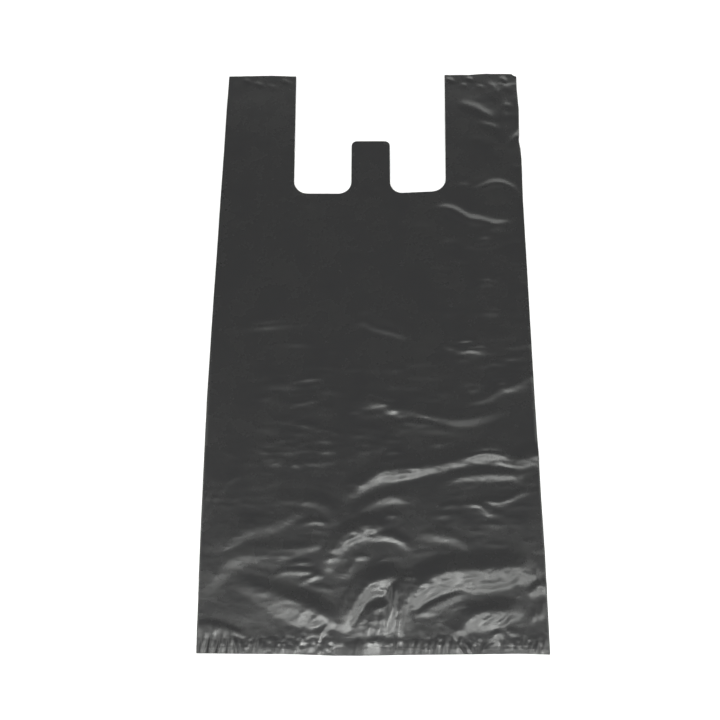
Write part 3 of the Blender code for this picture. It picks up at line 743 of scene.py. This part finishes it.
def make_crinkle_group():
    """Height is for a Bump node. Cloud is a slow change from 0 to 1, for colour and haze."""
    group = bpy.data.node_groups.new("film crinkle", "ShaderNodeTree")
    for name, value in (("Size", 260.0), ("Line Share", 0.2), ("Calm Above", 0.0)):
        socket = group.interface.new_socket(name, in_out="INPUT", socket_type="NodeSocketFloat")
        socket.default_value = value
    for name in ("Height", "Cloud"):
        group.interface.new_socket(name, in_out="OUTPUT", socket_type="NodeSocketFloat")
    given, result = group.nodes.new("NodeGroupInput"), group.nodes.new("NodeGroupOutput")
    place = node(group, "ShaderNodeTexCoord")
    across = node(group, "ShaderNodeMapping")
    across.inputs["Scale"].default_value = (0.55, 1.0, 1.0)
    along = node(group, "ShaderNodeMapping")
    along.inputs["Scale"].default_value = (1.0, 0.015, 1.0)
    crinkle = node(group, "ShaderNodeTexNoise", noise_type="RIDGED_MULTIFRACTAL")
    crinkle.inputs["Detail"].default_value = 3.0
    crinkle.inputs["Roughness"].default_value = 0.55
    crinkle.inputs["Distortion"].default_value = 0.8
    lines = node(group, "ShaderNodeTexNoise")
    lines.inputs["Scale"].default_value = 900.0
    lines.inputs["Detail"].default_value = 2.0
    cloud = node(group, "ShaderNodeTexNoise")
    cloud.inputs["Scale"].default_value = 30.0
    cloud.inputs["Detail"].default_value = 6.0
    cloud.inputs["Roughness"].default_value = 0.65
    spread = node(group, "ShaderNodeMapRange")
    spread.inputs["From Min"].default_value = 0.3
    spread.inputs["From Max"].default_value = 0.7
    mix = node(group, "ShaderNodeMix")
    parts = node(group, "ShaderNodeSeparateXYZ")
    above = node(group, "ShaderNodeMath", operation="SUBTRACT")
    calm = node(group, "ShaderNodeMapRange")
    calm.inputs["From Min"].default_value = -0.03
    calm.inputs["From Max"].default_value = 0.03
    calm.inputs["To Min"].default_value = 1.0
    calm.inputs["To Max"].default_value = 0.35
    height = node(group, "ShaderNodeMath", operation="MULTIPLY")
    link = group.links.new
    link(place.outputs["Object"], parts.inputs["Vector"])
    link(parts.outputs["Y"], above.inputs[0])
    link(given.outputs["Calm Above"], above.inputs[1])
    link(above.outputs["Value"], calm.inputs["Value"])
    link(calm.outputs["Result"], height.inputs[1])
    link(place.outputs["Object"], across.inputs["Vector"])
    link(place.outputs["Object"], along.inputs["Vector"])
    link(place.outputs["Object"], cloud.inputs["Vector"])
    link(across.outputs["Vector"], crinkle.inputs["Vector"])
    link(given.outputs["Size"], crinkle.inputs["Scale"])
    link(along.outputs["Vector"], lines.inputs["Vector"])
    link(given.outputs["Line Share"], mix.inputs["Factor"])
    link(crinkle.outputs["Fac"], mix.inputs["A"])
    link(lines.outputs["Fac"], mix.inputs["B"])
    link(cloud.outputs["Fac"], spread.inputs["Value"])
    link(mix.outputs["Result"], height.inputs[0])
    link(height.outputs["Value"], result.inputs["Height"])
    link(spread.outputs["Result"], result.inputs["Cloud"])
    return group


CRINKLE = make_crinkle_group()

# %% The film's two materials
COOL_BLACK = (0.0222, 0.0222, 0.0233)
WARM_BLACK = (0.0228, 0.0229, 0.0230)
WELD_GLOSS = 0.19
WELD_WIDTH = 0.004


def film_material(name, roughness, size, line_share, calm_above, bump, depth):
    """Black film. roughness is (smoothest, roughest). depth is the crinkle's, in metres."""
    material = bpy.data.materials.new(name)
    material.use_nodes = True
    tree = material.node_tree
    link = tree.links.new
    shader = tree.nodes["Principled BSDF"]
    shader.inputs["IOR"].default_value = 1.53
    crinkle = node(tree, "ShaderNodeGroup", node_tree=CRINKLE)
    crinkle.inputs["Size"].default_value = size
    crinkle.inputs["Line Share"].default_value = line_share
    crinkle.inputs["Calm Above"].default_value = calm_above
    tone = node(tree, "ShaderNodeMix", data_type="RGBA")
    tone.inputs["A"].default_value = (*COOL_BLACK, 1.0)
    tone.inputs["B"].default_value = (*WARM_BLACK, 1.0)
    haze = node(tree, "ShaderNodeMapRange")
    haze.inputs["To Min"].default_value = roughness[0]
    haze.inputs["To Max"].default_value = roughness[1]
    bumps = node(tree, "ShaderNodeBump")
    bumps.inputs["Strength"].default_value = bump
    bumps.inputs["Distance"].default_value = depth
    link(crinkle.outputs["Cloud"], tone.inputs["Factor"])
    link(crinkle.outputs["Cloud"], haze.inputs["Value"])
    link(crinkle.outputs["Height"], bumps.inputs["Height"])
    link(tone.outputs["Result"], shader.inputs["Base Color"])
    link(bumps.outputs["Normal"], shader.inputs["Normal"])
    # Along the bottom weld the roughness falls to that of melted film
    place = node(tree, "ShaderNodeTexCoord")
    parts = node(tree, "ShaderNodeSeparateXYZ")
    apart = node(tree, "ShaderNodeMath", operation="SUBTRACT")
    apart.inputs[1].default_value = BOTTOM_Y + SEAL_Y * MM
    size_of = node(tree, "ShaderNodeMath", operation="ABSOLUTE")
    melted = node(tree, "ShaderNodeMapRange")
    melted.inputs["From Max"].default_value = WELD_WIDTH
    melted.inputs["To Min"].default_value = 1.0
    melted.inputs["To Max"].default_value = 0.0
    gloss = node(tree, "ShaderNodeMix")
    gloss.inputs["B"].default_value = WELD_GLOSS
    link(place.outputs["Object"], parts.inputs["Vector"])
    link(parts.outputs["Y"], apart.inputs[0])
    link(apart.outputs["Value"], size_of.inputs[0])
    link(size_of.outputs["Value"], melted.inputs["Value"])
    link(melted.outputs["Result"], gloss.inputs["Factor"])
    link(haze.outputs["Result"], gloss.inputs["A"])
    link(gloss.outputs["Result"], shader.inputs["Roughness"])
    return material


front.data.materials.clear()
front.data.materials.append(film_material("creased_film", (0.21, 0.32), 210.0, 0.2, -0.07, 0.5, 0.00022))
back.data.materials.clear()
back.data.materials.append(film_material("back_film", (0.26, 0.38), 200.0, 0.3, -0.07, 0.5, 0.0003))

# %% [markdown]
# ## Joining the pieces to the frame
# The bag is one body. The two pieces of film stand for the imported solid.

# %% Ride and replace
for piece in (front, back):
    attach(piece, "root")
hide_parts("carrier_bag")

# %% [markdown]
# ## Floor, light and camera
# The bag lies on a white table. One large soft light, with a brighter middle, stands over the
# viewer's shoulder. A smaller one stands beyond the handles, one on each side, and a weak one
# hangs overhead. The flat film mirrors the dim ceiling between them, and only the faces that lean
# to one of them catch the light. The table and the low wall behind it are white to the camera and
# in the film's gloss, but add no light to the bag: a Light Path node tells these rays apart.

# %% What counts as seen
def seen(tree):
    """1 for the rays that the camera sends, also where the film mirrors them, and 0 for the rest."""
    path = node(tree, "ShaderNodeLightPath")
    total = path.outputs["Is Camera Ray"]
    for name in ("Is Glossy Ray", "Is Transmission Ray"):
        added = node(tree, "ShaderNodeMath", operation="ADD", use_clamp=True)
        tree.links.new(total, added.inputs[0])
        tree.links.new(path.outputs[name], added.inputs[1])
        total = added.outputs["Value"]
    return total


# %% The floor
FLOOR_SIZE = 6.0
FLOOR_Z = -0.0002
TABLE_WHITE = 0.86


def make_floor():
    """A white table. It shades under the bag, and is pure white to the camera further out."""
    bpy.ops.mesh.primitive_plane_add(size=FLOOR_SIZE, location=(0, 0, FLOOR_Z))
    floor = bpy.context.object
    floor.name = "floor"
    material = bpy.data.materials.new("white_table")
    material.use_nodes = True
    tree = material.node_tree
    shader = tree.nodes["Principled BSDF"]
    shader.inputs["Base Color"].default_value = (TABLE_WHITE, TABLE_WHITE, TABLE_WHITE, 1.0)
    shader.inputs["Roughness"].default_value = 0.9
    shader.inputs["Specular IOR Level"].default_value = 0.0
    glow = node(tree, "ShaderNodeEmission")
    place = node(tree, "ShaderNodeTexCoord")
    away = node(tree, "ShaderNodeVectorMath", operation="LENGTH")
    lift = node(tree, "ShaderNodeMapRange")
    lift.inputs["From Min"].default_value = 0.6
    lift.inputs["From Max"].default_value = 2.2
    lift.inputs["To Min"].default_value = 0.3
    lift.inputs["To Max"].default_value = 1.0
    share = node(tree, "ShaderNodeMath", operation="MULTIPLY")
    both = node(tree, "ShaderNodeAddShader")
    tree.links.new(place.outputs["Object"], away.inputs[0])
    tree.links.new(away.outputs["Value"], lift.inputs["Value"])
    tree.links.new(lift.outputs["Result"], share.inputs[1])
    tree.links.new(seen(tree), share.inputs[0])
    tree.links.new(share.outputs["Value"], glow.inputs["Strength"])
    tree.links.new(shader.outputs["BSDF"], both.inputs[0])
    tree.links.new(glow.outputs["Emission"], both.inputs[1])
    tree.links.new(both.outputs["Shader"], tree.nodes["Material Output"].inputs["Surface"])
    floor.data.materials.append(material)


make_floor()

# %% The light
LIGHT_COLOUR = (0.985, 1.0, 0.97)
ROOM_GREY = 0.25
WALL_TOP = (0.16, 0.30)


def soft_light(name, place, aim, size, watts):
    """A rectangular area light that looks at `aim`."""
    lamp = bpy.data.lights.new(name, "AREA")
    lamp.color = LIGHT_COLOUR
    lamp.shape = "RECTANGLE"
    lamp.size, lamp.size_y = size
    lamp.energy = watts
    made = bpy.data.objects.new(name, lamp)
    made.location = place
    made.rotation_euler = (Vector(aim) - Vector(place)).to_track_quat("-Z", "Y").to_euler()
    bpy.context.scene.collection.objects.link(made)
    return made


def radiance_watts(radiance, size):
    """The watts that give an area light this radiance."""
    return radiance * math.pi * size[0] * size[1]


for name, place, aim, size, radiance in (
        ("key softbox", (0.0, -0.85, 1.12), (0.0, -0.12, 0.0), (2.2, 0.8), 1.7),
        ("key core", (0.0, -0.62, 1.25), (0.0, -0.12, 0.0), (1.6, 0.26), 4.6),
        ("key spot", (0.0, -0.62, 1.24), (0.0, -0.12, 0.0), (0.35, 0.07), 25.0),
        ("veil", (0.0, -0.42, 1.38), (0.0, -0.42, 0.0), (2.4, 0.55), 0.28),
        ("left strip", (-0.8, -0.2, 0.95), (0.0, -0.15, 0.0), (0.9, 0.45), 1.8),
        ("right strip", (0.8, -0.2, 0.95), (0.0, -0.15, 0.0), (0.9, 0.45), 1.8),
        ("far softbox", (0.1, 1.32, 0.76), (0.0, 0.12, 0.0), (1.8, 0.36), 3.3)):
    soft_light(name, place, aim, size, radiance_watts(radiance, size))

world = bpy.data.worlds.new("room")
bpy.context.scene.world = world
world.use_nodes = True
room = world.node_tree
place = node(room, "ShaderNodeTexCoord")
parts = node(room, "ShaderNodeSeparateXYZ")
wall = node(room, "ShaderNodeMapRange")
wall.inputs["From Min"].default_value = WALL_TOP[0]
wall.inputs["From Max"].default_value = WALL_TOP[1]
wall.inputs["To Min"].default_value = 1.0
wall.inputs["To Max"].default_value = ROOM_GREY
shade = node(room, "ShaderNodeMix")
shade.inputs["A"].default_value = ROOM_GREY
room.links.new(place.outputs["Generated"], parts.inputs["Vector"])
room.links.new(parts.outputs["Z"], wall.inputs["Value"])
room.links.new(wall.outputs["Result"], shade.inputs["B"])
room.links.new(seen(room), shade.inputs["Factor"])
room.links.new(shade.outputs["Result"], room.nodes["Background"].inputs["Strength"])
room.nodes["Background"].inputs["Color"].default_value = (1.0, 1.0, 1.0, 1.0)

# %% The camera
CAMERA_PLACE = Vector((-0.0002, -0.2197, 0.6860))
TILT, TURN, ROLL = math.radians(16.07), math.radians(2.71), math.radians(-2.58)
FOCAL_PIXELS = 815.6
IMAGE_PIXELS = 720
SENSOR_WIDTH = 36.0
camera_data = bpy.data.cameras.new("camera")
camera_data.sensor_width = SENSOR_WIDTH
camera_data.lens = FOCAL_PIXELS / IMAGE_PIXELS * SENSOR_WIDTH
camera = bpy.data.objects.new("camera", camera_data)
bpy.context.scene.collection.objects.link(camera)
lean = Matrix.Rotation(TURN, 3, "Z") @ Matrix.Rotation(TILT, 3, "X") @ Matrix.Rotation(ROLL, 3, "Z")
camera.matrix_world = Matrix.Translation(CAMERA_PLACE) @ lean.to_4x4()
bpy.context.scene.camera = camera
bpy.context.scene.view_settings.view_transform = "Standard"
print("camera lens:", round(camera_data.lens, 2), "mm")
